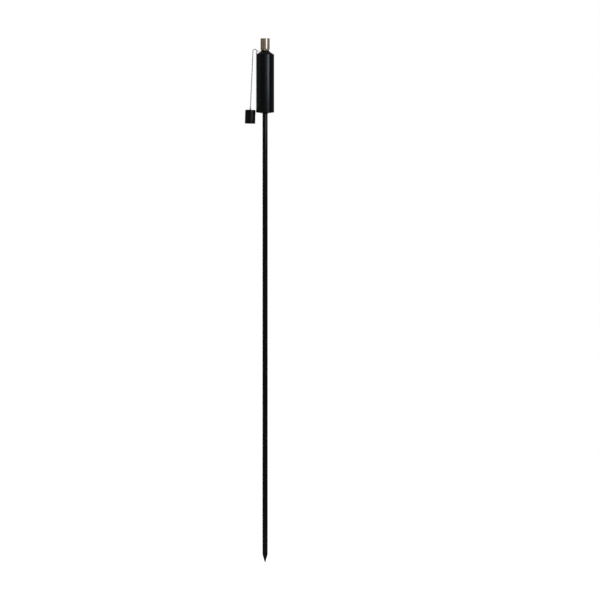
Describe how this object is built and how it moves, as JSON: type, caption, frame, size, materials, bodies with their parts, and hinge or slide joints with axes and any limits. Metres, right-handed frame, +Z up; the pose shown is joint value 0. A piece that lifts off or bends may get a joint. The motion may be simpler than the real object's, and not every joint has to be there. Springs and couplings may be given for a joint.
{
  "type": "tiki torch",
  "caption": "Tall metal garden torch: round oil canister with flame cup on a sectional pole with a spike, and a snuffer cap hanging on a bead chain.",
  "frame": {"origin": "on the pole's axis at ground level, where the planted pole leaves the ground", "axes": "+Z up along the pole, -X towards the snuffer chain"},
  "size_m": [0.0926, 0.057, 1.6495],
  "materials": {
    "black_steel": "semi-gloss black powder coat",
    "zinc_steel": "zinc-plated, satin",
    "bronze_cup": "polished brown bronze",
    "dark_wire": "blackened wire",
    "nickel_chain": "nickel-plated",
    "black_rubber": "matt",
    "wick_fibre": "woven glass fibre"
  },
  "bodies": {
    "ground_pole": {"spike_tip": "black_steel", "pole_lower": "black_steel", "lower_joint_stud": "zinc_steel"},
    "middle_section": {"middle_joint_nut": "zinc_steel", "pole_middle": "black_steel", "middle_joint_stud": "zinc_steel"},
    "upper_section": {"upper_joint_nut": "zinc_steel", "pole_upper": "black_steel", "head_stud": "zinc_steel"},
    "head": {"pole_socket": "black_steel", "canister_bottom": "black_steel", "canister_shell": "black_steel", "filler_neck": "black_steel", "neck_gasket": "black_rubber", "neck_loop": "dark_wire", "anchor_eyelet": "dark_wire"},
    "burner": {"burner_collar": "bronze_cup", "burner_cup": "bronze_cup", "wick_tube": "bronze_cup"},
    "wick": {"wick": "wick_fibre"},
    "chain": {"chain_top_coupling": "nickel_chain", "chain_beads": "nickel_chain", "chain_links": "nickel_chain", "chain_cap_coupling": "nickel_chain"},
    "snuffer": {"snuffer_cap": "black_steel", "cap_eye": "dark_wire", "cap_washer": "zinc_steel"}
  },
  "joints": [
    {"name": "middle_section_lift", "type": "slide", "parent": "ground_pole", "child": "middle_section", "axis": [0, 0, 1], "range_m": [0, 0.025]},
    {"name": "upper_section_lift", "type": "slide", "parent": "middle_section", "child": "upper_section", "axis": [0, 0, 1], "range_m": [0, 0.025]},
    {"name": "head_lift", "type": "slide", "parent": "upper_section", "child": "head", "axis": [0, 0, 1], "range_m": [0, 0.025]},
    {"name": "burner_lift", "type": "slide", "parent": "head", "child": "burner", "axis": [0, 0, 1], "range_m": [0, 0.175]},
    {"name": "wick_raise", "type": "slide", "parent": "burner", "child": "wick", "axis": [0, 0, 1], "range_m": [-0.004, 0.012]},
    {"name": "chain_swing", "type": "hinge", "parent": "head", "child": "chain", "pos_m": [-0.0249, 0, 1.30968], "axis": [0, 1, 0], "range_deg": [0, 60]},
    {"name": "cap_tilt", "type": "hinge", "parent": "chain", "child": "snuffer", "pos_m": [-0.04619, 0, 1.12856], "axis": [0, 1, 0], "range_deg": [0, 60]}
  ]
}
